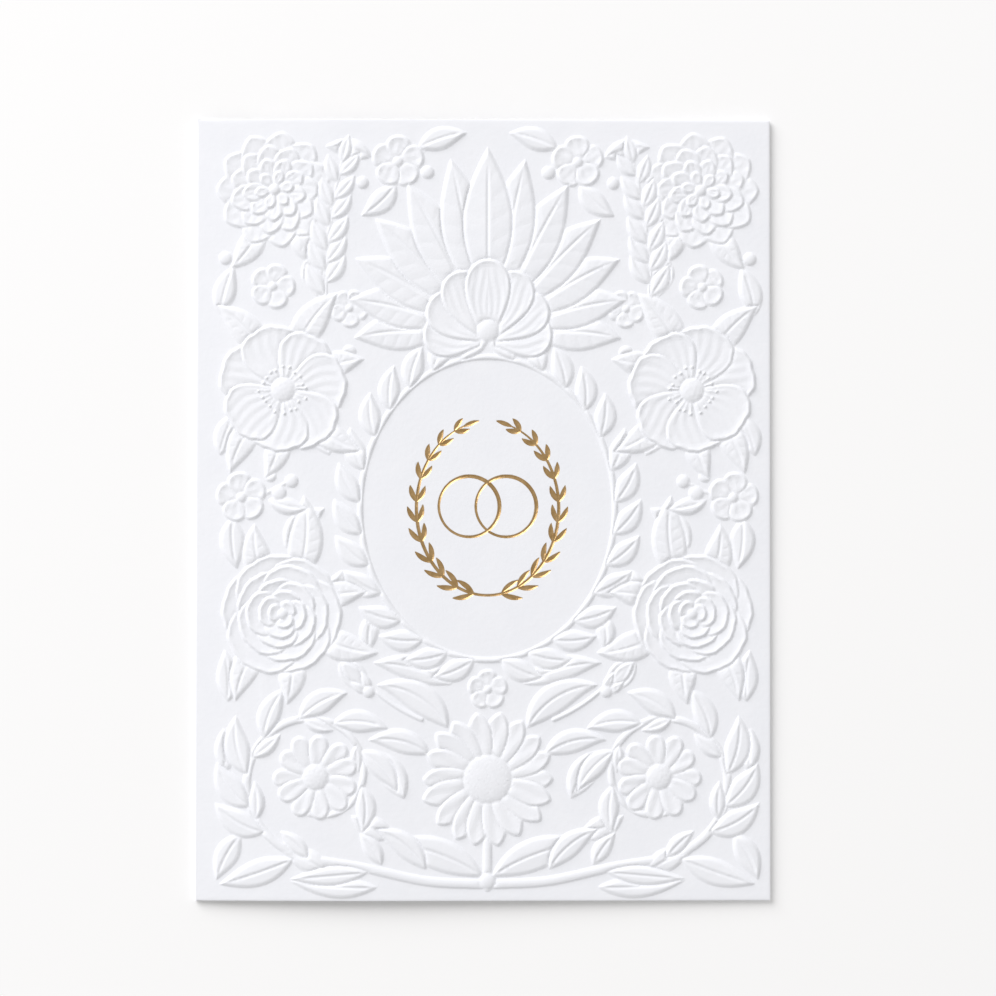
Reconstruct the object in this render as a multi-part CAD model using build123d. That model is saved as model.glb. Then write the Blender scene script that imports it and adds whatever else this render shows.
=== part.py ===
"""A closed greeting card: one stiff sheet, creased once down its left side.

The card lies on its back panel. The fold runs along Y at the left, the two
panels reach to +X, and the front panel lies on top. It springs up from the
fold, bows over, and comes down almost closed at its free edge.

Frame, in millimetres: +X from the fold to the free edges, +Y from the foot of
the card to its head, +Z up through the front panel. The origin is the centre
of the card's bounding box, on the face that it rests on.
"""
import os
from math import atan2, cos, degrees, radians, sin, tan

from build123d import *

# Sheet and trim sizes
SHEET_THICKNESS = 0.45
CARD_WIDTH = 117.0  # fold to free edge, closed
CARD_HEIGHT = 158.75  # along the fold

# Fold and the spring of the front panel
FOLD_INNER_RADIUS = 0.20
SPRING_ANGLE = 3.6  # degrees, the front panel's rise where it leaves the fold
BOW_TANGENT = 22.5  # from the fold to the crest where the bow's two tangents meet
EDGE_GAP = 0.36  # between the panels at the free edge


def direction(angle):
    """Unit vector in the section, angle in degrees above +X."""
    return Vector(cos(radians(angle)), sin(radians(angle)))


def fold_arc(centre, radius):
    """One face of the fold, from the back panel round to the front panel."""
    end_angle = SPRING_ANGLE + 90
    middle_angle = end_angle + (180 - SPRING_ANGLE) / 2
    return ThreePointArc(
        centre - Vector(0, radius),
        centre + direction(middle_angle) * radius,
        centre + direction(end_angle) * radius,
    )


def bow_arc(start, closing_angle, depth):
    """One face of the bow, tangent to the fold and to the panel's flat part.

    start is the arc's first point and depth how far it lies under the outer face.
    """
    half_turn = radians(SPRING_ANGLE - closing_angle) / 2
    radius = BOW_TANGENT / tan(half_turn) - depth
    centre = start - direction(SPRING_ANGLE + 90) * radius

    def at(angle):
        return centre + direction(angle + 90) * radius

    return ThreePointArc(start, at((SPRING_ANGLE + closing_angle) / 2), at(closing_angle))


def section():
    """The sheet's closed outline, seen along the fold."""
    outer_radius = FOLD_INNER_RADIUS + SHEET_THICKNESS
    centre = Vector(outer_radius - CARD_WIDTH / 2, outer_radius)
    free_edge = CARD_WIDTH / 2

    outer_fold = fold_arc(centre, outer_radius)
    inner_fold = fold_arc(centre, FOLD_INNER_RADIUS)
    crest = outer_fold @ 1 + direction(SPRING_ANGLE) * BOW_TANGENT
    outer_end = Vector(free_edge, 2 * SHEET_THICKNESS + EDGE_GAP)
    fall = outer_end - crest
    closing_angle = degrees(atan2(fall.Y, fall.X))
    inner_end = outer_end - direction(closing_angle + 90) * SHEET_THICKNESS

    outer_bow = bow_arc(outer_fold @ 1, closing_angle, 0)
    inner_bow = bow_arc(inner_fold @ 1, closing_angle, SHEET_THICKNESS)
    edges = [
        Line((free_edge, 0), outer_fold @ 0),
        outer_fold,
        outer_bow,
        Line(outer_bow @ 1, outer_end),
        Line(outer_end, inner_end),
        Line(inner_end, inner_bow @ 1),
        inner_bow,
        inner_fold,
        Line(inner_fold @ 0, (free_edge, SHEET_THICKNESS)),
        Line((free_edge, SHEET_THICKNESS), (free_edge, 0)),
    ]
    return make_face(edges)


def folded_card():
    """The section drawn in XZ and pushed along Y, half each way."""
    upright = Plane((0, 0, 0), x_dir=(1, 0, 0), z_dir=(0, -1, 0))
    return extrude(upright * section(), CARD_HEIGHT / 2, both=True)


os.makedirs("parts", exist_ok=True)
export_step(folded_card(), "parts/folded_card.step")
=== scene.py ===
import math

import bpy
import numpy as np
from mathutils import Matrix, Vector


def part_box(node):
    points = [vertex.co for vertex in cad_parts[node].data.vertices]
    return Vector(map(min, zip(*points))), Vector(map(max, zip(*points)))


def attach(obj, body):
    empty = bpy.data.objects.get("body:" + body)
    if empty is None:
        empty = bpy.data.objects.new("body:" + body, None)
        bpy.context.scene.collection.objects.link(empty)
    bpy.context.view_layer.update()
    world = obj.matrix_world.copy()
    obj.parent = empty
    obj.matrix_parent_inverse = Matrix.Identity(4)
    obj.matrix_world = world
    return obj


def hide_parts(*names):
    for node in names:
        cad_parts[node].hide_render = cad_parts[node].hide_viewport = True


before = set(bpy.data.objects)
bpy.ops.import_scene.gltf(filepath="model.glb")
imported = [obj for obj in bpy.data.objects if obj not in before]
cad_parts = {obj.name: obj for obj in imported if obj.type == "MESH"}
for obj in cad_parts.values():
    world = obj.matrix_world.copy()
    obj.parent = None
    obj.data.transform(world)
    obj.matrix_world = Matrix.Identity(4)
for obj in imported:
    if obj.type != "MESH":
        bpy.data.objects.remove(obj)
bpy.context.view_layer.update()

# A closed greeting card of one folded sheet. Its front panel is blind embossed with flowers and foliage
# round a plain oval window, and a wreath with two linked rings is stamped in gold foil in the window.
#
# Contents: sizes of the sheet, the embossing and the foil / curves and distances / the height field /
# motifs / the embossed design / the foil design / the sheet's mesh / thinning and normals /
# the foil's mesh / materials / pieces / stage, lights and camera / the scene.
#
# The sheet's sizes and all heights are in millimetres. The two designs are drawn in the plane for a card
# DESIGN_HEIGHT high, and scaled to this one. Blender's own sizes are metres, so meshes are scaled by MM.

MM = 0.001

# ---------------------------------------------------------------- sizes of the sheet, in millimetres
LOW, HIGH = (np.array(corner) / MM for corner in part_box("folded_card"))
CARD_WIDTH, CARD_HEIGHT = HIGH[0] - LOW[0], HIGH[1] - LOW[1]
SHEET = 0.45
FOLD_INNER = 0.20
FOLD_OUTER = FOLD_INNER + SHEET
FOLD_X = LOW[0] + FOLD_OUTER  # the fold's axis, and where both panels start

# the front panel's section: it springs up from the fold, bows over and falls to its free edge
SPRING = math.radians(3.6)
BOW_TANGENT = 22.5
EDGE_GAP = 0.36
START_X = FOLD_X - math.sin(SPRING) * FOLD_OUTER
START_Z = FOLD_OUTER + math.cos(SPRING) * FOLD_OUTER
CREST_X, CREST_Z = START_X + math.cos(SPRING) * BOW_TANGENT, START_Z + math.sin(SPRING) * BOW_TANGENT
EDGE_Z = 2 * SHEET + EDGE_GAP
CLOSING = math.atan2(EDGE_Z - CREST_Z, HIGH[0] - CREST_X)
BOW_RADIUS = BOW_TANGENT / math.tan((SPRING - CLOSING) / 2)
BOW = BOW_RADIUS * (SPRING - CLOSING)  # the bow's length
PANEL = BOW + math.hypot(HIGH[0] - CREST_X, EDGE_Z - CREST_Z) - BOW_TANGENT  # and the whole panel's

# ---------------------------------------------------------------- sizes of the embossing
DESIGN_HEIGHT = 177.8
DRAWN = CARD_HEIGHT / DESIGN_HEIGHT
ROWS = 1188  # height-field steps up the card, a multiple of INNER_STEP and OUTER_STEP
CELL = CARD_HEIGHT / ROWS
INNER_STEP, OUTER_STEP = 3, 12  # rows from one used to the next, on the inner face, and on the fold and back
OUTER_FOLD_STEPS, INNER_FOLD_STEPS, BACK_STEPS = 12, 8, 40  # points round the fold and across the back panel
FIELD_SHIFT = np.array([1.2, 0.2])  # the design's centre from the card's: its margin is widest by the fold
WINDOW = np.array([29.0, 34.5])  # half axes of the plain oval
MOTIF_MARGIN = 1.3  # how far round a motif its crease may reach
CREASE_REACH = 0.45  # how fast that crease fades
DIE_SOFTNESS = 0.10  # how far the paper rounds the die's detail off
BACK_SOFTNESS = 0.35  # and the same on the inner face
RELIEF_GAIN = 0.90  # from the drawn heights to millimetres
BACK_DEPTH = 0.9  # share of the relief that shows in the inner face
TRIM_DIP, TRIM_REACH = 0.10, 0.22  # how deep and how far in the cutter rounds the trimmed edges off
COCKLE_HEIGHT, COCKLE_WAVES, COCKLE_LENGTHS = 0.005, 14, (9, 42)  # the sheet's slight unevenness
COCKLE_MARGIN = 6  # how far from the trim and the fold it fades out

TRIANGLES = 194_000  # for the sheet, once the flat ground has been thinned out
LONG_SIDE, STRAY_ANGLE = 0.8, math.radians(2.5)  # triangles this long keep their own normal where it strays
SHARP_ANGLE = math.radians(50)
# the embossed face's triangles face up by this much, and reach this far past the fold and under the face
FACING_UP, PAST_FOLD, UNDER_FACE = 0.25, -0.01, -0.35

# ---------------------------------------------------------------- sizes of the foil
FOIL_CELL = 0.10
FOIL_DEPTH = 0.16  # how deep the foil is stamped
FOIL_THICKNESS = 0.02
FOIL_PROUD = 2 * FOIL_THICKNESS  # how far its top stands over the groove's floor
FOIL_SKIN = 3 * FOIL_THICKNESS  # from its top to its underside, which is sunk in the paper
GROOVE_RIM = -0.02  # the groove starts just outside a stroke's edge
GROOVE_WALL = (-0.10, 0.42)  # depths inside a stroke's edge where its sloping side starts and ends
WREATH, WREATH_LEAF = (16.2, 19.8), 5.2  # half axes of the wreath's stems, and its first leaves' length
RING_APART, RING_RADIUS = 4.2, 6.9  # each ring's centre from the middle line, and its radius


# ---------------------------------------------------------------- curves and distances
def smooth(value, low, high):
    t = np.clip((value - low) / (high - low), 0, 1)
    return t * t * (3 - 2 * t)


def bump(value, width):
    return np.exp(-((value / width) ** 2))


def heading(degrees):
    return np.array([math.cos(math.radians(degrees)), math.sin(math.radians(degrees))])


def path(base, angle, length, turn=0.0, count=28):
    """A line from base that sets off at angle and turns evenly by turn degrees in all."""
    angles = np.radians(angle + turn * np.linspace(0, 1, count))
    steps = np.stack([np.cos(angles), np.sin(angles)], 1) * length / (count - 1)
    middle = (steps[1:] + steps[:-1]) / 2
    return np.array(base, float) + np.vstack([[0, 0], np.cumsum(middle, 0)])


def spline(points, count=40):
    """A smooth line through a few points (Catmull-Rom)."""
    p = np.array(points, float)
    p = np.vstack([2 * p[0] - p[1], p, 2 * p[-1] - p[-2]])
    spans = len(p) - 3
    t = np.linspace(0, spans, count)
    i = np.minimum(t.astype(int), spans - 1)
    u = (t - i)[:, None]
    a, b, c, d = p[i], p[i + 1], p[i + 2], p[i + 3]
    quadratic = 2 * a - 5 * b + 4 * c - d
    cubic = 3 * b - a - 3 * c + d
    return 0.5 * (2 * b + (c - a) * u + quadratic * u**2 + cubic * u**3)


def spiral(centre, start_angle, sweep, start_radius, end_radius, count=120):
    t = np.linspace(0, 1, count)
    angles = np.radians(start_angle + sweep * t)
    radii = start_radius + (end_radius - start_radius) * t**0.85
    return np.array(centre) + np.stack([radii * np.cos(angles), radii * np.sin(angles)], 1)


def oval(centre, half_axes, start, end, count=120):
    angles = np.radians(np.linspace(start, end, count))
    return np.array(centre) + np.stack([half_axes[0] * np.cos(angles), half_axes[1] * np.sin(angles)], 1)


def headings(line):
    return np.degrees(np.unwrap(np.arctan2(*np.gradient(line, axis=0).T[::-1])))


def along(line, share):
    """The point at that share of a line, and the line's heading there."""
    k = int(round(share * (len(line) - 1)))
    return line[k], headings(line)[k]


def ribbon(line, half_width):
    """The closed outline of a strip with these half widths."""
    way = np.gradient(line, axis=0)
    way /= np.linalg.norm(way, axis=1, keepdims=True)
    side = np.stack([-way[:, 1], way[:, 0]], 1) * half_width[:, None]
    return np.vstack([line + side, (line - side)[::-1]])


def inside_depth(x, y, outline):
    """Distance to a closed outline, positive inside it."""
    nearest = np.full(x.shape, 1e9)
    inside = np.zeros(x.shape, bool)
    for (ax, ay), (bx, by) in zip(outline, np.roll(outline, -1, 0)):
        ex, ey = bx - ax, by - ay
        length2 = ex * ex + ey * ey
        if length2 < 1e-12:
            continue
        wx, wy = x - ax, y - ay
        t = np.clip((wx * ex + wy * ey) / length2, 0, 1)
        nearest = np.minimum(nearest, (wx - t * ex) ** 2 + (wy - t * ey) ** 2)
        if ay != by:
            inside ^= ((ay > y) != (by > y)) & (x < ax + ex * (y - ay) / ey)
    return np.where(inside, 1, -1) * np.sqrt(nearest)


def line_place(x, y, line):
    """Place along a line, 0 to 1, and signed distance from it, positive on its left."""
    nearest = np.full(x.shape, 1e9)
    share = np.zeros(x.shape)
    offset = np.zeros(x.shape)
    for i, (a, b) in enumerate(zip(line, line[1:])):
        e = b - a
        wx, wy = x - a[0], y - a[1]
        u = np.clip((wx * e[0] + wy * e[1]) / (e @ e), 0, 1)
        distance2 = (wx - u * e[0]) ** 2 + (wy - u * e[1]) ** 2
        closer = distance2 < nearest
        nearest = np.where(closer, distance2, nearest)
        share = np.where(closer, (i + u) / (len(line) - 1), share)
        offset = np.where(closer, np.sign(e[0] * wy - e[1] * wx) * np.sqrt(distance2), offset)
    return share, offset


# ---------------------------------------------------------------- the height field
class Relief:
    """Heights over a panel, on a grid of x and y measured from the design's centre."""

    def __init__(self, low, high, cell):
        self.cell = cell
        self.x = np.arange(math.ceil(low[0] / cell), math.floor(high[0] / cell) + 1) * cell
        self.y = np.linspace(low[1], high[1], round((high[1] - low[1]) / cell) + 1)
        self.h = np.zeros((len(self.y), len(self.x)))

    def patch(self, points, margin=MOTIF_MARGIN):
        """The part of the grid round some points, with its x and y."""
        low, high = points.min(0) - margin, points.max(0) + margin
        i0, i1 = np.searchsorted(self.x, [low[0], high[0]])
        j0, j1 = np.searchsorted(self.y, [low[1], high[1]])
        x, y = np.meshgrid(self.x[i0:i1], self.y[j0:j1])
        return (slice(j0, j1), slice(i0, i1)), x, y

    def lay(self, where, depth, height, crease=0.45):
        """Lays height over what is there where depth is positive, and sinks what lies just outside."""
        old = self.h[where]
        sunk = old * (1 - crease * np.exp(-np.maximum(-depth, 0) / CREASE_REACH))
        self.h[where] = np.where(depth > 0, height, sunk)

    def merge(self, where, depth, height):
        """Joins height to what is there, whichever is higher."""
        self.h[where] = np.where(depth > 0, np.maximum(self.h[where], height), self.h[where])

    def mirror(self):
        """The right half is the pattern, and the left half its mirror image."""
        middle = int(np.argmin(np.abs(self.x)))
        count = min(middle, len(self.x) - 1 - middle)
        self.h[:, middle - count : middle] = self.h[:, middle + 1 : middle + count + 1][:, ::-1]

    def softened(self, sigma):
        reach = math.ceil(3 * sigma / self.cell)
        taps = np.exp(-0.5 * (np.arange(-reach, reach + 1) * self.cell / sigma) ** 2)
        taps /= taps.sum()
        h = self.h
        for axis in (0, 1):
            padded = np.pad(h, [(reach, reach) if a == axis else (0, 0) for a in (0, 1)], mode="edge")
            size = h.shape[axis]
            h = sum(tap * np.take(padded, range(i, i + size), axis) for i, tap in enumerate(taps))
        return h


def shoulder(depth, bevel):
    """0 at an outline, 1 once depth passes the bevel: a rounded shoulder."""
    return 1 - (1 - np.clip(depth / bevel, 0, 1)) ** 2.2


# ---------------------------------------------------------------- motifs
def stem(art, line, start=0.55, end=0.35, height=0.4):
    """A round stalk. start and end are its half widths."""
    where, x, y = art.patch(ribbon(line, np.linspace(start, end, len(line))))
    share, offset = line_place(x, y, line)
    half = start + (end - start) * share
    art.merge(where, half - np.abs(offset), height * np.sqrt(np.clip(1 - (offset / half) ** 2, 0, 1)))


def leaf(art, base, angle, length, width, turn=0.0, height=0.62, belly=0.45, ribs=0, fold=0.22):
    """A plump leaf on a curved midrib. belly is where it is widest, ribs how many run off the midrib, and
    fold how much one side stands higher."""
    line = path(base, angle, length, turn)
    power = math.log(0.5) / math.log(belly)

    def half(share):
        return width / 2 * np.sin(np.pi * share**power) ** 0.95

    outline = ribbon(line, half(np.linspace(0, 1, len(line))) + 0.02)
    where, x, y = art.patch(outline)
    depth = inside_depth(x, y, outline)
    share, offset = line_place(x, y, line)
    across = np.clip(offset / np.maximum(half(np.clip(share, 0.001, 0.999)), 0.15), -1, 1)
    edge = np.abs(across)
    lean = 1 + fold * np.sign(across) * smooth(edge, 0, 0.3)
    crown = 0.5 + 0.5 * np.sqrt(1 - across**2) * lean
    taper = smooth(share, 0, 0.12) * (1 - smooth(share, 0.72, 0.97))
    cut = 0.24 * bump(offset, 0.34) * min(1, width / 4)
    if ribs:
        wave = 0.5 - 0.5 * np.cos(2 * np.pi * ribs * (share - edge * 0.09))
        cut = cut + 0.06 * wave**3 * smooth(edge, 0.1, 0.35) * (1 - smooth(edge, 0.7, 0.98))
    art.lay(where, depth, (height * crown - cut * taper) * shoulder(depth, min(1.1, width * 0.3)))


def petal(
    art, base, angle, length, width, turn=0.0, height=0.5, root=0.15, cap=0.55, flutes=3, flute=0.05,
    rim=0.12, cup=0.25, ripple=0.0, phase=0.0, point=0.0,
):
    """A petal that fans out from a narrow root to a rolled rim. cap is where it is widest, flutes run out
    from the root, cup sinks its middle, ripple waves its edge and point sharpens its tip."""
    line = path(base, angle, length, turn)
    share = 1 - (1 - np.linspace(0, 1, 44)) ** 2

    def fan(share):
        return root + (1 - root) * np.sin(np.clip(share / cap, 0, 1) * np.pi / 2) ** 1.1

    closing = (1 - np.clip((share - cap) / (1 - cap), 0, 1) ** (2.2 - point)) ** (0.5 + 0.35 * point)
    even = np.linspace(0, 1, len(line))
    fine = np.stack([np.interp(share, even, line[:, k]) for k in (0, 1)], 1)
    outline = ribbon(fine, width / 2 * fan(share) * closing)
    if ripple:
        middle = np.array(base) + heading(angle + turn / 2) * length * 0.45
        swing = np.arctan2(*(outline - middle).T[::-1])
        wave = np.sin(7 * swing + phase) + 0.5 * np.sin(16 * swing + 2 * phase)
        swell = 1 + ripple * wave * smooth(np.concatenate([share, share[::-1]]), 0.35, 0.8)
        outline = middle + (outline - middle) * swell[:, None]
    where, x, y = art.patch(outline)
    depth = inside_depth(x, y, outline)
    share, offset = line_place(x, y, line)
    across = offset / (width / 2 * fan(share))
    bowl = cup * smooth(depth, 0.3, min(2.2, width * 0.4)) * smooth(share, 0.1, 0.5)
    body = height * (0.72 + 0.28 * share) * (1 - bowl)
    lip = rim * bump(depth - 0.55, 0.45) * smooth(share, 0.35, 0.8)
    wave = np.cos(2 * np.pi * flutes * (across + 0.13 * np.sin(5 * share + phase)) + phase) - 0.3
    fade = smooth(share, 0.08, 0.3) * (1 - 0.85 * smooth(share, 0.72, 0.98)) * smooth(depth, 0.1, 0.7)
    art.lay(where, depth, (body + lip) * shoulder(depth, min(0.8, width * 0.25)) + flute * wave * fade, 0.5)


def dome(art, centre, radius, height=0.5, crease=0.5):
    centre = np.array(centre, float)
    where, x, y = art.patch(np.array([centre - radius, centre + radius]))
    r = np.hypot(x - centre[0], y - centre[1])
    art.lay(where, radius - r, height * np.sqrt(np.clip(1 - (r / radius) ** 2, 0, 1)), crease)


def seeds(art, centre, radius, count, height=0.09, size=0.34):
    """Small beads packed in a sunflower's spiral."""
    for i in range(count):
        spot = np.array(centre) + heading(i * 137.508) * radius * math.sqrt((i + 0.5) / count)
        where, x, y = art.patch(np.array([spot - size, spot + size]), 0.1)
        r = np.hypot(x - spot[0], y - spot[1])
        art.h[where] += height * np.clip(1 - (r / size) ** 2, 0, 1) ** 1.5


def anemone(art, centre, radius, rng, petals=7, start=0.0):
    centre = np.array(centre, float)
    for i in range(petals):
        a = start + i * 360 / petals + rng.uniform(-5, 5)
        petal(
            art, centre + heading(a) * radius * 0.08, a, radius * rng.uniform(0.9, 1.0), radius * 0.98,
            height=0.56, root=0.25, cap=0.6, flute=0.045, rim=0.14, ripple=0.02, phase=rng.uniform(0, 6),
            cup=0.35,
        )
    for i in range(20):
        a = i * 18 + rng.uniform(-4, 4)
        tip = centre + heading(a) * radius * rng.uniform(0.31, 0.4)
        stem(art, np.array([centre + heading(a) * radius * 0.15, tip]), 0.17, 0.13, 0.62)
        dome(art, tip, 0.4, 0.76, crease=0.2)
    dome(art, centre, radius * 0.2, 0.78)
    seeds(art, centre, radius * 0.17, 12, 0.08, 0.3)


def rose(art, centre, radius, rng, start=0.0):
    rings = [(1.0, 6, 0.42), (0.79, 5, 0.49), (0.59, 5, 0.57), (0.41, 4, 0.64), (0.25, 3, 0.7)]
    for ring, (share, count, height) in enumerate(rings):
        for i in range(count):
            a = start + ring * 31 + i * 360 / count + rng.uniform(-6, 6)
            size = radius * share
            petal(
                art, centre, a, size * rng.uniform(0.94, 1.02), size * 1.25, height=height, root=0.3,
                cap=0.45, flutes=2, flute=0.012, rim=0.16, ripple=0.015, phase=rng.uniform(0, 6), cup=0.45,
            )
    dome(art, centre, radius * 0.09, 0.72)


def daisy(art, centre, radius, rng, petals=13, disc=0.3, width=0.46, point=0.0, beads=36):
    centre = np.array(centre, float)
    for i in range(petals):
        a = i * 360 / petals + rng.uniform(-3, 3)
        petal(
            art, centre + heading(a) * radius * 0.15, a, radius * 0.85 * rng.uniform(0.94, 1.02),
            radius * width, root=0.45, cap=0.65, flutes=1, rim=0.05, cup=0.1, phase=math.pi, point=point,
        )
    dome(art, centre, radius * disc, 0.72)
    seeds(art, centre, radius * disc * 0.9, beads)


def dahlia(art, centre, radius):
    centre = np.array(centre, float)
    rings = [(1.0, 11, 0.4), (0.78, 11, 0.49), (0.56, 9, 0.58), (0.35, 6, 0.66)]
    for ring, (share, count, height) in enumerate(rings):
        for i in range(count):
            a = ring * 16.4 + i * 360 / count
            size = radius * share
            petal(
                art, centre + heading(a) * size * 0.2, a, size * 0.82, size * 0.62, height=height, root=0.4,
                cap=0.58, flutes=2, flute=0.035, rim=0.1, point=0.45, cup=0.3, phase=i,
            )
    dome(art, centre, radius * 0.1, 0.72)


def blossom(art, centre, radius, start=0.0, petals=5):
    centre = np.array(centre, float)
    for i in range(petals):
        a = start + i * 360 / petals
        petal(
            art, centre + heading(a) * radius * 0.1, a, radius * 0.92, radius * 0.98, height=0.46, root=0.3,
            flutes=1.5, flute=0.035, rim=0.1, cup=0.4, phase=i,
        )
    dome(art, centre, radius * 0.2, 0.6)


def berries(art, *places):
    """Round berries: (x, y, radius) each."""
    for x, y, radius in places:
        dome(art, (x, y), radius, 0.6)


def bud(art, base, angle, length, width):
    """A closed flower in its cup of sepals."""
    base = np.array(base, float)
    for side in (-1, 1):
        petal(
            art, base, angle + side * 9, length, width * 0.66, turn=-side * 12, root=0.4, flutes=1,
            flute=0.04, rim=0.08, point=0.5,
        )
    petal(
        art, base, angle, length * 1.03, width * 0.5, height=0.62, root=0.4, flutes=1, flute=0.04, point=0.7,
    )
    for side in (-1, 1):
        leaf(art, base - heading(angle) * 0.4, angle + side * 32, length * 0.55, width * 0.3, turn=-side * 30)
    dome(art, base, width * 0.2, 0.6)


def sprig(art, base, angle, length, turn=0.0, pairs=4, blade=7.0, width=2.6, spread=48, ends=0.75):
    """A stalk with leaves by turns up both sides, and one at its tip. ends is the last leaf's size."""
    line = path(base, angle, length, turn, 40)
    stem(art, line, 0.5, 0.3, 0.42)
    for i in range(pairs):
        for side in (-1, 1):
            share = 0.16 + 0.84 * (i + (0.42 if side > 0 else 0)) / pairs
            spot, way = along(line, share)
            size = 1 - (1 - ends) * share
            turned = -side * spread * 0.55
            leaf(art, spot, way + side * spread, blade * size, width * size, turned, height=0.5)
    leaf(art, *along(line, 1), blade * ends, width * ends, height=0.5)


def palmette(art, base, reach, lobes=6, fan=84, width=11.5, root=9):
    """Half of a fan of ribbed blades, with a shell of short petals over their roots, drawn to be mirrored.
    The blades start root out from base."""
    base = np.array(base, float)
    for i in range(lobes, -1, -1):
        out = i / lobes
        a = 90 - fan * out
        size = reach * (1 - 0.3 * out**1.1) - root
        blade = width * (1 - 0.22 * out)
        leaf(
            art, base + heading(a) * root, a + 5 * (i > 0), size, blade, turn=-26 * out, belly=0.5, ribs=7,
            fold=0.12,
        )
    for i in range(3, -1, -1):
        a = 90 - 28 * i
        petal(
            art, base + heading(a) * 1.5, a, 17 - 1.2 * i, 10.5, height=0.66, root=0.35, cap=0.62, flute=0.04,
            cup=0.3,
        )


# ---------------------------------------------------------------- the embossed design
def emboss(art):
    """Draws the right half, mirrors it, and adds what stands on the middle line."""
    rng = np.random.default_rng(11)
    fillers(art)
    foot_scroll(art, rng)
    foot_leaves(art)
    window_laurel(art)
    side_flowers(art, rng)
    top_corner(art)
    palmette(art, (0, 38.5), 44)
    art.mirror()
    daisy(art, (0, -61.5), 15.5, rng, petals=18, disc=0.36, beads=110, width=0.36, point=0.5)
    blossom(art, (0, -41.2), 4.6, 90)
    dome(art, (0, 40.5), 2.6, 0.7)
    dome(art, (0, -84.6), 1.9, 0.7)


def foot_scroll(art, rng):
    """A leafy scroll that curls up from the foot of the middle stem and ends in a daisy."""
    centre = (39, -61)
    scroll = spiral(centre, -85, 450, 18.5, 6.5)
    lead = spline([(1.5, -85.3), (14, -84.6), (28, -81.6), scroll[0], scroll[6]])
    stem(art, lead, 1.1, 0.95, 0.5)
    stem(art, scroll, 0.95, 0.55, 0.5)
    leaf(art, (27, -82.6), -6, 18, 4.6, turn=2)
    leaf(art, (44, -79.6), -24, 18, 6.2, turn=10)
    outer = [
        (0.085, 13.5, 6.0), (0.135, 13, 6.2), (0.19, 14, 6), (0.27, 13, 5.4), (0.35, 13, 5.6),
        (0.43, 13, 5.4), (0.52, 13, 5.2), (0.61, 11, 4.8),
    ]
    for share, length, width in outer:
        spot, way = along(scroll, share)
        leaf(art, spot, way - 40, length, width, turn=42)
    inner = [(0.0, 9, 3.8), (0.11, 9, 3.8), (0.23, 8.5, 3.6), (0.36, 7.5, 3.2), (0.5, 6.5, 2.8)]
    for share, length, width in inner:
        spot, way = along(scroll, share)
        leaf(art, spot, way + 36, length, width, turn=-18)
    daisy(art, centre, 10, rng, petals=11, beads=26)


def foot_leaves(art):
    """Leaves about the middle stem and under the window, and a bud each side."""
    stem(art, path((0, -86), 90, 22), 1.0, 0.9, 0.5)
    leaf(art, (1, -83.6), 34, 24, 7.5, turn=-30)
    leaf(art, (14, -82), 60, 15, 5.5, turn=-42)
    leaf(art, (24, -81), 65, 9, 4.2, turn=-20)
    leaf(art, (9, -50), 62, 20, 7.0, turn=-62)
    leaf(art, (13, -56), 38, 15, 5.6, turn=-50)
    stem(art, path((15, -48), 22, 13, 20), 0.5, 0.4, 0.4)
    bud(art, (27, -41.6), 48, 9.5, 7)


def window_laurel(art):
    ring = oval((0, 0), WINDOW, -90, 90)
    stem(art, ring, 0.6, 0.6, 0.45)
    for share in np.linspace(0.03, 0.93, 14):
        spot, way = along(ring, share)
        leaf(art, spot, way - 46, 10.5, 5.2, turn=32)


def flower_leaves(art, centre, leaves):
    """Leaves that come out from under a flower: (angle, length, width, turn) each."""
    for angle, length, width, turn in leaves:
        leaf(art, np.array(centre) + heading(angle) * 8, angle, length, width, turn=turn, ribs=8)


def fillers(art):
    """Leaves, blossoms and berries in the gaps between the large motifs, under all of them."""
    leaves = [  # base, angle, length, width and turn
        ((26.5, 80), 28, 11, 5.0, -30), ((16, 82), 150, 12, 5.4, 24), ((21, 74), -60, 11, 5.4, 34),
        ((46, -9), 118, 13, 6.4, 34), ((58, -2), -84, 12, 6.0, -22), ((61, 12), 100, 11, 5.4, 22),
        ((25, -86), -3, 20, 5.2, 14), ((56, -74), -50, 12, 5.6, -24), ((36, -83), 40, 12, 5.4, -30),
        ((26, -24), -70, 9, 4.6, -30), ((61, 44), 96, 12, 5.4, 20), ((40, 58), -84, 10, 5.2, -26),
        ((36, 12), 70, 12, 5.6, -40), ((33, -14), -78, 13, 5.8, 40), ((8, -40), 30, 19, 6.2, -30),
        ((19, -66), 72, 14, 6.4, -34), ((21, -74), 8, 11, 5.6, 30), ((59, -44), 94, 12, 5.6, -16),
        ((60, -50), -100, 11, 5.2, 20),
    ]
    for base, angle, length, width, turn in leaves:
        leaf(art, base, angle, length, width, turn)
    blossom(art, (20.5, 79), 6.0, 20)
    blossom(art, (31.5, 45.5), 4.4, 50)
    berries(
        art, (13.8, 76.6, 1.5), (28.6, 74.2, 1.4), (31.5, 35.5, 1.6), (34.2, 33.0, 1.3), (55.5, 60, 1.4),
    )


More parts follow.
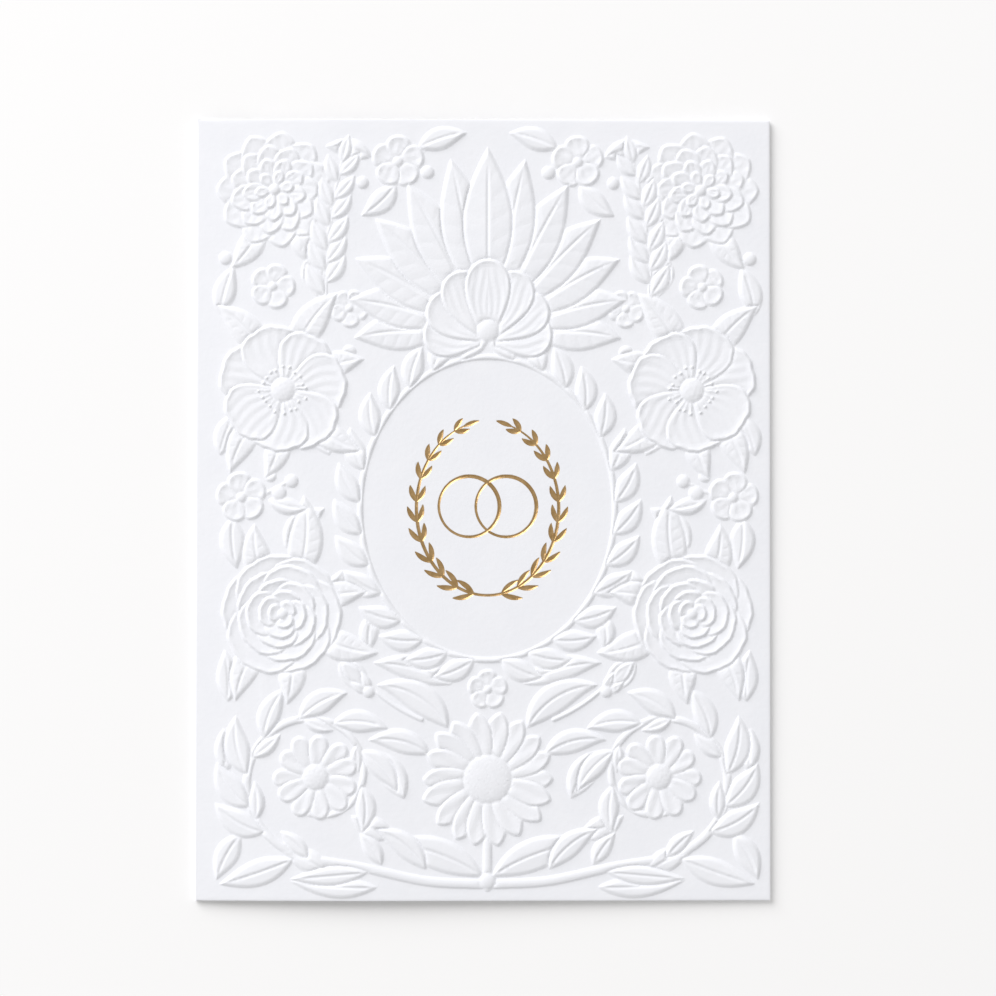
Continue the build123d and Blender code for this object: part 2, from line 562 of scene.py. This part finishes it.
def side_flowers(art, rng):
    """A rose low down beside the window, a blossom and berries at its middle, and an anemone above."""
    rose_at = (46.6, -24)
    flower_leaves(art, rose_at, [
        (112, 20, 8, -34), (158, 12, 6, 26), (212, 16, 7, -30),
        (258, 13, 6.5, 30), (-52, 15, 6.5, -30), (62, 14, 6.5, 34),
    ])
    rose(art, rose_at, 14.3, rng, start=10)
    stem(art, path((56, 2), 172, 13, -30), 0.5, 0.35, 0.4)
    leaf(art, (50, 2), 205, 9.5, 4.2, turn=-24)
    blossom(art, (56, 2.5), 5.8, 10)
    berries(art, (47.5, 3.5, 1.7), (44.6, 6.2, 1.5), (49.5, 7.4, 1.4))
    anemone_at = (46.6, 27)
    flower_leaves(art, anemone_at, [
        (228, 15, 6.5, -30), (272, 13, 6, 30), (312, 15, 6.5, -30),
        (152, 12, 6, 25), (108, 18, 7.5, 34), (62, 17, 7, -30),
    ])
    anemone(art, anemone_at, 14.3, rng, start=20)


def top_corner(art):
    """A dahlia in the corner, with a sprig between it and the palmette."""
    centre = (48.6, 72.6)
    flower_leaves(art, centre, [(243, 14, 6.5, -30), (290, 13, 6, 30)])
    dahlia(art, centre, 13.2)
    blossom(art, (49, 50.5), 5.2, 35)
    berries(art, (59.8, 57, 1.5), (40.6, 55.6, 1.3))
    sprig(art, (37, 43), 88, 36, turn=16, pairs=6, blade=9, width=4.4, spread=42)


# ---------------------------------------------------------------- the foil design
def foil_strokes():
    """The wreath's stems and leaves and the two linked rings: (line, half width along it) each."""
    strokes = []

    def stroke(line, start, middle, end):
        t = np.linspace(0, 1, len(line))
        strokes.append((line, start + (end - start) * t + 4 * t * (1 - t) * (middle - (start + end) / 2)))

    for side in (-1, 1):
        branch = oval((0, 0), (WREATH[0], WREATH[1]), -90 - side * 12, -90 + side * 160, 90)
        stroke(branch, 0.24, 0.38, 0.16)
        for share in np.linspace(0.13, 0.95, 11):
            spot, way = along(branch, share)
            size = WREATH_LEAF * (1 - 0.35 * share)
            for hand in (-1, 1):
                stroke(path(spot, way + hand * 40, size, -hand * 30, 16), 0.12, 0.60, 0.08)
        stroke(path(branch[-1], headings(branch)[-1], 3.8, side * 10, 16), 0.12, 0.52, 0.08)
    for side in (-1, 1):
        ring = oval((side * RING_APART, 0.4), (RING_RADIUS, RING_RADIUS), 0, 360)
        angle = np.radians(np.linspace(0, 360, len(ring)) - 35)
        strokes.append((ring, 0.36 + 0.09 * np.cos(angle)))
    return strokes


def foil_depth(x, y, strokes, reach=1.2, far=-9.0):
    """Depth inside the nearest stroke's edge, negative outside, and far out of every stroke's reach."""
    depth = np.full(x.shape, far)
    for line, half in strokes:
        low, high = line.min(0) - reach, line.max(0) + reach
        near = (x > low[0]) & (x < high[0]) & (y > low[1]) & (y < high[1])
        share, offset = line_place(x[near], y[near], line)
        width = np.interp(share, np.linspace(0, 1, len(half)), half)
        depth[near] = np.maximum(depth[near], width - np.abs(offset))
    return depth


# ---------------------------------------------------------------- the sheet's mesh
def front_face(u):
    """Point and slope on the front panel's outer face, u from the fold."""
    slope = SPRING - np.minimum(u, BOW) / BOW_RADIUS
    past = np.maximum(u - BOW, 0)
    x = START_X + BOW_RADIUS * (math.sin(SPRING) - np.sin(slope)) + past * math.cos(CLOSING)
    z = START_Z + BOW_RADIUS * (np.cos(slope) - math.cos(SPRING)) + past * math.sin(CLOSING)
    return x, z, slope


def fold_and_back(radius, fold_steps, back_z):
    """One face's section, as x and z, from just past the front panel round the fold and across the back."""
    angles = np.linspace(math.pi / 2 + SPRING, 3 * math.pi / 2, fold_steps + 2)[1:-1]
    x = np.concatenate([FOLD_X + radius * np.cos(angles), np.linspace(FOLD_X, HIGH[0], BACK_STEPS)])
    z = np.concatenate([FOLD_OUTER + radius * np.sin(angles), np.full(BACK_STEPS, back_z)])
    return x, z


def rows_of(x, z, step):
    """The same section on every step-th row up the card, as grids of x, y and z."""
    y = LOW[1] + np.arange(0, ROWS + 1, step) * CELL
    return np.broadcast_arrays(x[None, :], y[:, None], z[None, :])


class Builder:
    """Collects vertices, in millimetres, and triangles."""

    def __init__(self):
        self.points, self.triangles, self.count = [], [], 0

    def grid(self, x, y, z):
        """Adds a grid of points and returns its vertex numbers, [row, column]."""
        self.points.append(np.stack([x, y, z], -1).reshape(-1, 3))
        numbers = self.count + np.arange(x.size).reshape(x.shape)
        self.count += x.size
        return numbers

    def fill(self, numbers, flip=False):
        """Two triangles in each cell, facing the way that rows cross columns, or the other way."""
        a, b, c, d = numbers[:-1, :-1], numbers[:-1, 1:], numbers[1:, 1:], numbers[1:, :-1]
        made = np.concatenate([np.stack(t, -1).reshape(-1, 3) for t in ((a, b, c), (a, c, d))])
        self.triangles.append(made[:, ::-1] if flip else made)

    def join(self, one, other, flip=False):
        """Triangles between two rows of vertices that run side by side, with any number in each."""
        made = []
        i = j = 0
        while i < len(one) - 1 or j < len(other) - 1:
            step_one = (i + 1) / (len(one) - 1) if i < len(one) - 1 else 2
            step_other = (j + 1) / (len(other) - 1) if j < len(other) - 1 else 2
            if step_one <= step_other:
                made.append((one[i], one[i + 1], other[j]))
                i += 1
            else:
                made.append((one[i], other[j + 1], other[j]))
                j += 1
        made = np.array(made)
        self.triangles.append(made[:, ::-1] if flip else made)

    def mesh(self, name):
        points = np.concatenate(self.points) * MM
        triangles = np.concatenate(self.triangles)
        mesh = bpy.data.meshes.new(name)
        mesh.vertices.add(len(points))
        mesh.vertices.foreach_set("co", points.astype(np.float32).ravel())
        mesh.loops.add(len(triangles) * 3)
        mesh.loops.foreach_set("vertex_index", triangles.astype(np.int32).ravel())
        mesh.polygons.add(len(triangles))
        mesh.polygons.foreach_set("loop_start", np.arange(0, len(triangles) * 3, 3, dtype=np.int32))
        mesh.update(calc_edges=True)
        return mesh


def panel_origin():
    """The front panel's foot, at the fold, from the design's centre, at the drawn size."""
    return np.array([FOLD_X, LOW[1]]) / DRAWN - FIELD_SHIFT


def panel_first_u(art):
    """u at the height field's first column."""
    return (art.x[0] - panel_origin()[0]) * DRAWN


def press_front():
    """The front panel's height field, with its grid's u and v."""
    low = panel_origin()
    art = Relief(low, low + np.array([PANEL, CARD_HEIGHT]) / DRAWN, CELL / DRAWN)
    emboss(art)
    art.h = art.softened(DIE_SOFTNESS) * RELIEF_GAIN
    x, y = np.meshgrid(art.x, art.y)
    u, v = (x - low[0]) * DRAWN, (y - low[1]) * DRAWN
    # the first and last columns are moved to the panel's own ends
    u[:, 0], u[:, -1] = 0, PANEL
    to_trim = np.minimum(np.minimum(v, CARD_HEIGHT - v), PANEL - u)
    art.h -= TRIM_DIP * np.exp(-to_trim / TRIM_REACH)
    art.h += cockle(u, v) * smooth(to_trim, 0, COCKLE_MARGIN) * smooth(u, 0, COCKLE_MARGIN)
    depth = foil_depth(x, y, foil_strokes())
    art.h -= FOIL_DEPTH * smooth(depth, *GROOVE_WALL) + FOIL_PROUD * (depth > GROOVE_RIM)
    return art, u, v


def build_card():
    """The whole sheet as one closed mesh, and the front panel's height field."""
    art, u, v = press_front()
    build = Builder()
    px, pz, slope = front_face(u)
    outer = build.grid(px - art.h * np.sin(slope), v + LOW[1], pz + art.h * np.cos(slope))
    build.fill(outer)

    # the fold's outer face and the back
    rest = build.grid(*rows_of(*fold_and_back(FOLD_OUTER, OUTER_FOLD_STEPS, 0), OUTER_STEP))
    build.fill(rest, flip=True)
    build.join(outer[:, 0], rest[:, 0])

    # the inner face: front panel with the relief's reverse, fold, back panel
    rows = np.arange(0, ROWS + 1, INNER_STEP)
    columns = np.unique(np.append(np.arange(0, len(art.x), INNER_STEP), len(art.x) - 1))[::-1]
    picked = np.ix_(rows, columns)
    reverse = (art.softened(BACK_SOFTNESS) * BACK_DEPTH - SHEET)[picked]
    front_x = px[picked] - reverse * np.sin(slope[picked])
    front_z = pz[picked] + reverse * np.cos(slope[picked])
    tail_x, tail_y, tail_z = rows_of(*fold_and_back(FOLD_INNER, INNER_FOLD_STEPS, SHEET), INNER_STEP)
    front_y = np.broadcast_to(tail_y[:, :1], front_x.shape)
    inner = build.grid(*map(np.hstack, ((front_x, tail_x), (front_y, tail_y), (front_z, tail_z))))
    build.fill(inner)

    # the cut edges
    build.join(outer[:, -1], inner[:, 0], flip=True)
    build.join(rest[:, -1], inner[:, -1])
    for row, flip in ((0, False), (-1, True)):
        way_round = np.concatenate([outer[row][::-1], rest[row]])
        build.join(way_round, inner[row], flip=flip)
    return build.mesh("card_sheet"), art


def cockle(u, v):
    """The slight unevenness that pressing leaves in a sheet: a few long waves."""
    rng = np.random.default_rng(5)
    shortest, longest = COCKLE_LENGTHS
    total = np.zeros(u.shape)
    for _ in range(COCKLE_WAVES):
        length = rng.uniform(shortest, longest)
        angle, phase = rng.uniform(0, math.pi), rng.uniform(0, 2 * math.pi)
        along_wave = u * math.cos(angle) + v * math.sin(angle)
        total += length / longest * np.sin(2 * np.pi * along_wave / length + phase)
    return total * COCKLE_HEIGHT


# ---------------------------------------------------------------- thinning and normals
def thinned(mesh, name, triangles):
    """A copy of a dense mesh with its flat places thinned out, down to that many triangles."""
    dense = bpy.data.objects.new(name, mesh)
    bpy.context.scene.collection.objects.link(dense)
    modifier = dense.modifiers.new("thin", "DECIMATE")
    modifier.ratio = min(1, triangles / len(mesh.polygons))
    depsgraph = bpy.context.evaluated_depsgraph_get()
    thin = bpy.data.meshes.new_from_object(dense.evaluated_get(depsgraph), depsgraph=depsgraph)
    bpy.data.objects.remove(dense)
    bpy.data.meshes.remove(mesh)
    thin.name = name
    return thin


def read(items, attribute, width, kind=float):
    values = np.empty(len(items) * width, kind)
    items.foreach_get(attribute, values)
    return values.reshape(-1, width) if width > 1 else values


def panel_place(points):
    """Each point's u and v on the front panel, its height over the outer face, and the slope there."""
    bow_end = front_face(np.float64(BOW))[0]
    slope = np.zeros(len(points))
    lift = np.zeros(len(points))
    for _ in range(2):
        x = points[:, 0] + lift * np.sin(slope)
        bowed = np.arcsin(np.clip(math.sin(SPRING) - (x - START_X) / BOW_RADIUS, -1, 1))
        slope = np.maximum(bowed, CLOSING)
        u = (SPRING - slope) * BOW_RADIUS + np.maximum(x - bow_end, 0) / math.cos(CLOSING)
        lift = (points[:, 2] - front_face(u)[1]) * np.cos(slope)
    return u, points[:, 1] - LOW[1], lift, slope


def sample(field, column, row):
    """The field's value between its grid points."""
    i = np.clip(column.astype(int), 0, field.shape[1] - 2)
    j = np.clip(row.astype(int), 0, field.shape[0] - 2)
    s, t = np.clip(column - i, 0, 1), np.clip(row - j, 0, 1)
    low = field[j, i] * (1 - s) + field[j, i + 1] * s
    return low * (1 - t) + (field[j + 1, i] * (1 - s) + field[j + 1, i + 1] * s) * t


def shade_from_relief(mesh, art, first_u):
    """Gives the embossed face the height field's own normals, which the thinned triangles would blur."""
    mesh.shade_smooth()
    mesh.set_sharp_from_angle(angle=SHARP_ANGLE)
    points = read(mesh.vertices, "co", 3) / MM
    loops = read(mesh.loops, "vertex_index", 1, np.int32)
    faces = loops.reshape(-1, 3)
    facing = read(mesh.polygons, "normal", 3)[:, 2]
    u, v, lift, slope = panel_place(points)
    on_face = (facing > FACING_UP) & (u[faces].min(1) > PAST_FOLD) & (lift[faces].min(1) > UNDER_FACE)
    column, row = (u - first_u) / CELL, v / CELL
    rise_v, rise_u = (sample(g, column, row) for g in np.gradient(art.h, CELL))
    sine, cosine = np.sin(slope), np.cos(slope)
    normal = np.stack([-sine - rise_u * cosine, -rise_v, cosine - rise_u * sine], 1)
    normal /= np.linalg.norm(normal, axis=1, keepdims=True)
    corner = normal[loops]
    face_normal = np.repeat(read(mesh.polygons, "normal", 3), 3, axis=0)
    sides = points[faces] - points[np.roll(faces, 1, axis=1)]
    long_face = np.repeat(np.linalg.norm(sides, axis=2).max(1) > LONG_SIDE, 3)
    strays = long_face & ((corner * face_normal).sum(1) < math.cos(STRAY_ANGLE))
    corner[strays] = face_normal[strays]
    chosen = np.where(np.repeat(on_face, 3)[:, None], corner, 0)
    mesh.normals_split_custom_set(chosen)


# ---------------------------------------------------------------- the foil's mesh
def build_foil():
    """One closed skin of foil for all strokes, cut to their exact outline and pressed into the paper."""
    strokes = foil_strokes()
    every = np.vstack([line for line, _ in strokes])
    low, high = every.min(0) - 1, every.max(0) + 1
    x, y = np.meshgrid(np.arange(low[0], high[0], FOIL_CELL), np.arange(low[1], high[1], FOIL_CELL))
    depth = foil_depth(x, y, strokes)
    middle = (depth[:-1, :-1] + depth[1:, :-1] + depth[:-1, 1:] + depth[1:, 1:]) / 4
    kept = middle > 0
    # cells that touch only at a corner get a third beside them, so that the skin stays closed
    kept[:-1, 1:] |= kept[:-1, :-1] & kept[1:, 1:] & ~kept[1:, :-1]
    kept[:-1, :-1] |= kept[:-1, 1:] & kept[1:, :-1] & ~kept[1:, 1:]
    j, i = np.nonzero(kept)
    number = np.arange(x.size).reshape(x.shape)
    a, b, c, d = number[j, i], number[j, i + 1], number[j + 1, i + 1], number[j + 1, i]
    top = np.concatenate([np.stack([a, b, c], 1), np.stack([a, c, d], 1)])
    used, top = np.unique(top, return_inverse=True)
    top = top.reshape(-1, 3)
    x, y = x.ravel()[used], y.ravel()[used]

    edges = np.concatenate([top[:, [0, 1]], top[:, [1, 2]], top[:, [2, 0]]])
    key, back = edges[:, 0] * len(used) + edges[:, 1], edges[:, 1] * len(used) + edges[:, 0]
    rim = edges[~np.isin(key, back)]
    edge = np.unique(rim)
    # the rim's points move onto the strokes' outline, by no more than a third of a cell at a time
    step, most = 0.02, FOIL_CELL / 3
    for _ in range(3):
        here = foil_depth(x[edge], y[edge], strokes)
        slope_x = (foil_depth(x[edge] + step, y[edge], strokes) - here) / step
        slope_y = (foil_depth(x[edge], y[edge] + step, strokes) - here) / step
        steep = np.maximum(slope_x**2 + slope_y**2, 0.5)
        x[edge] -= np.clip(here * slope_x / steep, -most, most)
        y[edge] -= np.clip(here * slope_y / steep, -most, most)

    origin = panel_origin()
    u, v = (x - origin[0]) * DRAWN, (y - origin[1]) * DRAWN
    lift = cockle(u, v) - FOIL_DEPTH * smooth(foil_depth(x, y, strokes), *GROOVE_WALL)
    px, pz, slope = front_face(u)
    build = Builder()
    for under in (0, FOIL_SKIN):
        build.grid(px - (lift - under) * np.sin(slope), v + LOW[1], pz + (lift - under) * np.cos(slope))
    count = len(used)
    a, b = rim[:, 0], rim[:, 1]
    build.triangles = [
        top, top[:, ::-1] + count,
        np.stack([b, a, a + count], 1), np.stack([b, a + count, b + count], 1),
    ]
    mesh = build.mesh("foil_wreath")
    mesh.shade_smooth()
    mesh.set_sharp_from_angle(angle=SHARP_ANGLE)
    return mesh


# ---------------------------------------------------------------- materials
CARD_TONES = (0.856, 0.868, 0.908), (0.876, 0.886, 0.922)
FOIL_TONES = (0.46, 0.29, 0.12), (0.64, 0.43, 0.21)


def new_material(name):
    material = bpy.data.materials.new(name)
    material.use_nodes = True
    tree = material.node_tree
    return material, tree, tree.nodes["Principled BSDF"]


def noise(tree, size, detail=3.0, roughness=0.55, stretch=(1, 1, 1)):
    """Noise in the piece's own space. size is a patch's width in metres."""
    place = tree.nodes.new("ShaderNodeTexCoord")
    scale = tree.nodes.new("ShaderNodeMapping")
    scale.inputs["Scale"].default_value = stretch
    node = tree.nodes.new("ShaderNodeTexNoise")
    node.inputs["Scale"].default_value = 1 / size
    node.inputs["Detail"].default_value = detail
    node.inputs["Roughness"].default_value = roughness
    tree.links.new(place.outputs["Object"], scale.inputs["Vector"])
    tree.links.new(scale.outputs["Vector"], node.inputs["Vector"])
    return node.outputs["Fac"]


def between(tree, factor, low, high):
    """A number that goes from low to high as the factor goes from 0.3 to 0.7."""
    node = tree.nodes.new("ShaderNodeMapRange")
    node.inputs["From Min"].default_value, node.inputs["From Max"].default_value = 0.3, 0.7
    node.inputs["To Min"].default_value, node.inputs["To Max"].default_value = low, high
    tree.links.new(factor, node.inputs["Value"])
    return node.outputs["Result"]


def mixed_colour(tree, factor, one, other):
    node = tree.nodes.new("ShaderNodeMix")
    node.data_type = "RGBA"
    node.inputs["A"].default_value = (*one, 1)
    node.inputs["B"].default_value = (*other, 1)
    tree.links.new(between(tree, factor, 0, 1), node.inputs["Factor"])
    return node.outputs["Result"]


def bumped(tree, height, distance, normal=None):
    node = tree.nodes.new("ShaderNodeBump")
    node.inputs["Distance"].default_value = distance
    node.inputs["Strength"].default_value = 1.0
    tree.links.new(height, node.inputs["Height"])
    if normal is not None:
        tree.links.new(normal, node.inputs["Normal"])
    return node.outputs["Normal"]


def white_card():
    """Uncoated cotton card: cool white, matt, with a felt-side tooth and cloudy formation."""
    material, tree, shader = new_material("white_card")
    cloud = noise(tree, 0.006, 4)
    tree.links.new(mixed_colour(tree, cloud, *CARD_TONES), shader.inputs["Base Color"])
    tree.links.new(between(tree, noise(tree, 0.0012, 2), 0.78, 0.9), shader.inputs["Roughness"])
    tooth = bumped(tree, noise(tree, 0.0011, 5, 0.62), 0.000045)
    fibre = bumped(tree, noise(tree, 0.00035, 2, 0.5, (0.45, 1, 1)), 0.000008, tooth)
    tree.links.new(fibre, shader.inputs["Normal"])
    shader.inputs["Specular IOR Level"].default_value = 0.25
    return material


def gold_foil():
    """Hot-stamped foil: metal with the paper's tooth showing through."""
    material, tree, shader = new_material("gold_foil")
    cloud = noise(tree, 0.0016, 3)
    tree.links.new(mixed_colour(tree, cloud, *FOIL_TONES), shader.inputs["Base Color"])
    shader.inputs["Metallic"].default_value = 1.0
    tree.links.new(between(tree, noise(tree, 0.0006, 2), 0.24, 0.42), shader.inputs["Roughness"])
    tree.links.new(bumped(tree, noise(tree, 0.0007, 4, 0.6), 0.00004), shader.inputs["Normal"])
    return material


# ---------------------------------------------------------------- pieces
def add_piece(name, mesh, material):
    mesh.materials.append(material)
    piece = bpy.data.objects.new(name, mesh)
    bpy.context.scene.collection.objects.link(piece)
    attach(piece, "root")
    return piece


# ---------------------------------------------------------------- stage, lights and camera
KEY_BEARING, KEY_ELEVATION = math.radians(132), math.radians(33)  # up and to the left of the card
KEY_DISTANCE, KEY_SIZE, KEY_POWER = 3.2, 2.8, 93.5
KEY_COLOUR = (1.0, 0.995, 1.01)
SKY, SKY_COLOUR = 0.585, (1.0, 0.99, 0.975)  # the even light from all round
WHITE = 0.955  # how bright the world looks to the camera, past the floor
FLOOR_HALF, FLOOR_DROP = 4.0, 0.00002  # half its side, and how far it lies under the card
CAMERA_AIM = Vector((0.00312, 0.00232, 0))
CAMERA_DISTANCE, CAMERA_LENS = 0.5643, 100
CAMERA_TURN_X, CAMERA_TURN_Y, CAMERA_ROLL = math.radians(-1.0), math.radians(0.5), math.radians(-0.04)


def add_floor():
    mesh = bpy.data.meshes.new("floor")
    signs = ((-1, -1), (1, -1), (1, 1), (-1, 1))
    mesh.from_pydata([(x * FLOOR_HALF, y * FLOOR_HALF, -FLOOR_DROP) for x, y in signs], [], [(0, 1, 2, 3)])
    material, tree, shader = new_material("floor_white")
    shader.inputs["Base Color"].default_value = (0.95, 0.95, 0.95, 1)
    shader.inputs["Roughness"].default_value = 1.0
    shader.inputs["Specular IOR Level"].default_value = 0.0
    mesh.materials.append(material)
    floor = bpy.data.objects.new("floor", mesh)
    bpy.context.scene.collection.objects.link(floor)


def add_world():
    """Even light at SKY, which the camera itself sees at WHITE."""
    world = bpy.data.worlds.new("studio")
    world.use_nodes = True
    bpy.context.scene.world = world
    tree = world.node_tree
    ray = tree.nodes.new("ShaderNodeLightPath")
    strength = tree.nodes.new("ShaderNodeMapRange")
    strength.inputs["To Min"].default_value, strength.inputs["To Max"].default_value = SKY, WHITE
    tree.links.new(ray.outputs["Is Camera Ray"], strength.inputs["Value"])
    background = tree.nodes["Background"]
    background.inputs["Color"].default_value = (*SKY_COLOUR, 1)
    tree.links.new(strength.outputs["Result"], background.inputs["Strength"])


def add_key():
    lamp = bpy.data.lights.new("key", "AREA")
    lamp.shape = "DISK"
    lamp.size = KEY_SIZE
    lamp.energy = KEY_POWER
    lamp.color = KEY_COLOUR
    key = bpy.data.objects.new("key", lamp)
    level = math.cos(KEY_ELEVATION)
    across, up = math.cos(KEY_BEARING) * level, math.sin(KEY_BEARING) * level
    direction = Vector((across, up, math.sin(KEY_ELEVATION)))
    key.location = direction * KEY_DISTANCE
    key.rotation_euler = direction.to_track_quat("Z", "Y").to_euler()
    bpy.context.scene.collection.objects.link(key)


def add_camera():
    data = bpy.data.cameras.new("camera")
    data.lens = CAMERA_LENS
    data.clip_start = 0.01
    camera = bpy.data.objects.new("camera", data)
    turned = Matrix.Rotation(-CAMERA_TURN_Y, 4, "Y") @ Matrix.Rotation(-CAMERA_TURN_X, 4, "X")
    turned = turned @ Matrix.Rotation(-CAMERA_ROLL, 4, "Z")
    back_off = Matrix.Translation((0, 0, CAMERA_DISTANCE))
    camera.matrix_world = Matrix.Translation(CAMERA_AIM) @ turned @ back_off
    bpy.context.scene.collection.objects.link(camera)
    bpy.context.scene.camera = camera


# ---------------------------------------------------------------- the scene
dense, relief = build_card()
sheet = thinned(dense, "card_sheet", TRIANGLES)
shade_from_relief(sheet, relief, panel_first_u(relief))
card = add_piece("embossed_card", sheet, white_card())
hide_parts("folded_card")
add_piece("foil_wreath", build_foil(), gold_foil())

add_floor()
add_world()
add_key()
add_camera()
bpy.context.scene.view_settings.view_transform = "Standard"
